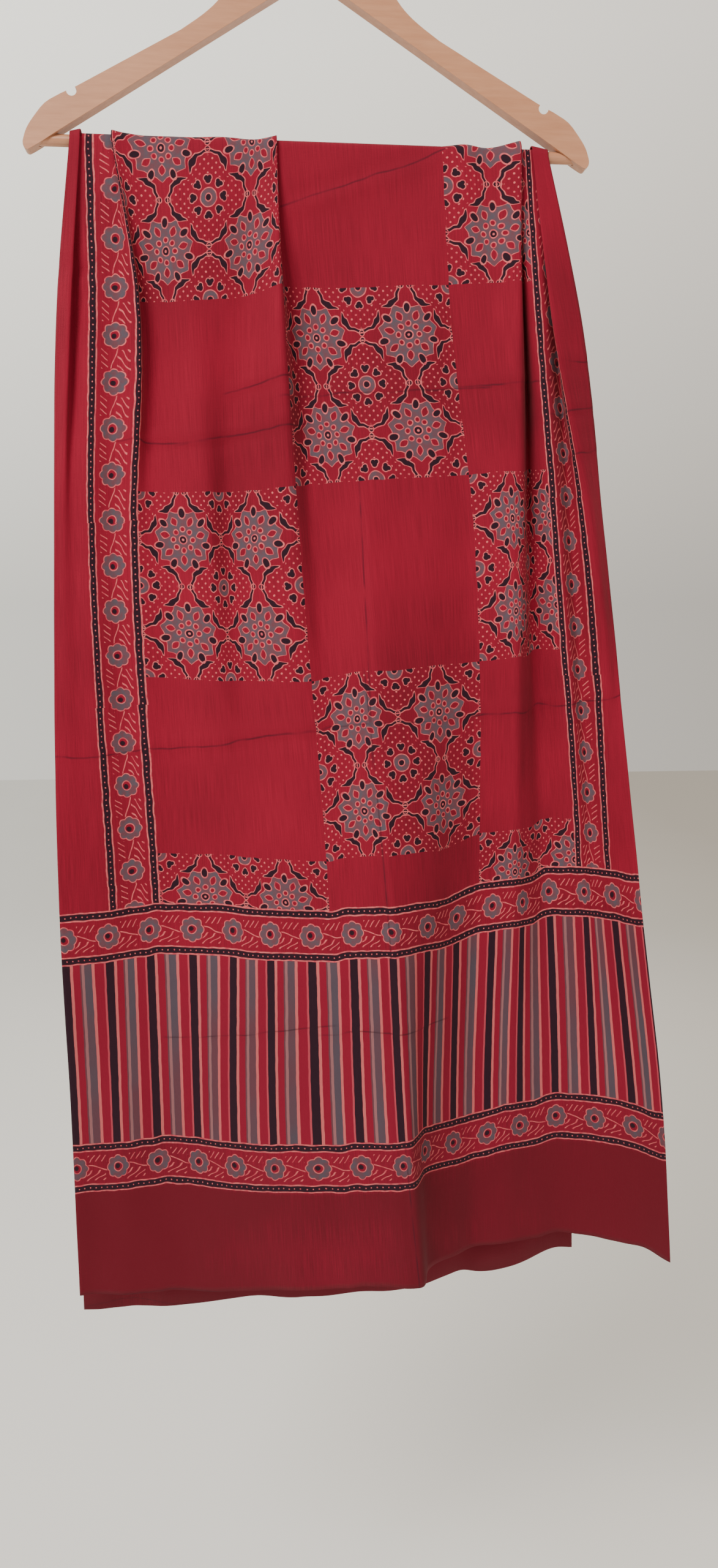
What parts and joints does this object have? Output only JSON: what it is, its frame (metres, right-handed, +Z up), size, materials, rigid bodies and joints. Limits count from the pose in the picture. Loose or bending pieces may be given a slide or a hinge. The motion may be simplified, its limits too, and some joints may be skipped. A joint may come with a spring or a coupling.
{
  "type": "draped block-printed stole on a wooden coat hanger",
  "caption": "Red block-printed cotton stole folded over the lower bar of a wooden coat hanger, hanging in soft uneven folds to a plain hem.",
  "frame": {"origin": "inside of the hook's crown, where the hanger hangs on a rail", "axes": "+X to the viewer's right along the bar, -Y towards the viewer who sees the stole's front, +Z up"},
  "size_m": [0.5421, 0.1081, 1.2347],
  "materials": {
    "red_cotton": "matt plain-weave cotton, block printed",
    "varnished_wood": "pale wood under satin varnish",
    "hook_steel": "bright plated wire"
  },
  "bodies": {
    "root": {"ajrakh_cloth": "red_cotton", "arm_left": "varnished_wood", "arm_right": "varnished_wood", "bar": "varnished_wood", "hook": "hook_steel"}
  },
  "joints": []
}
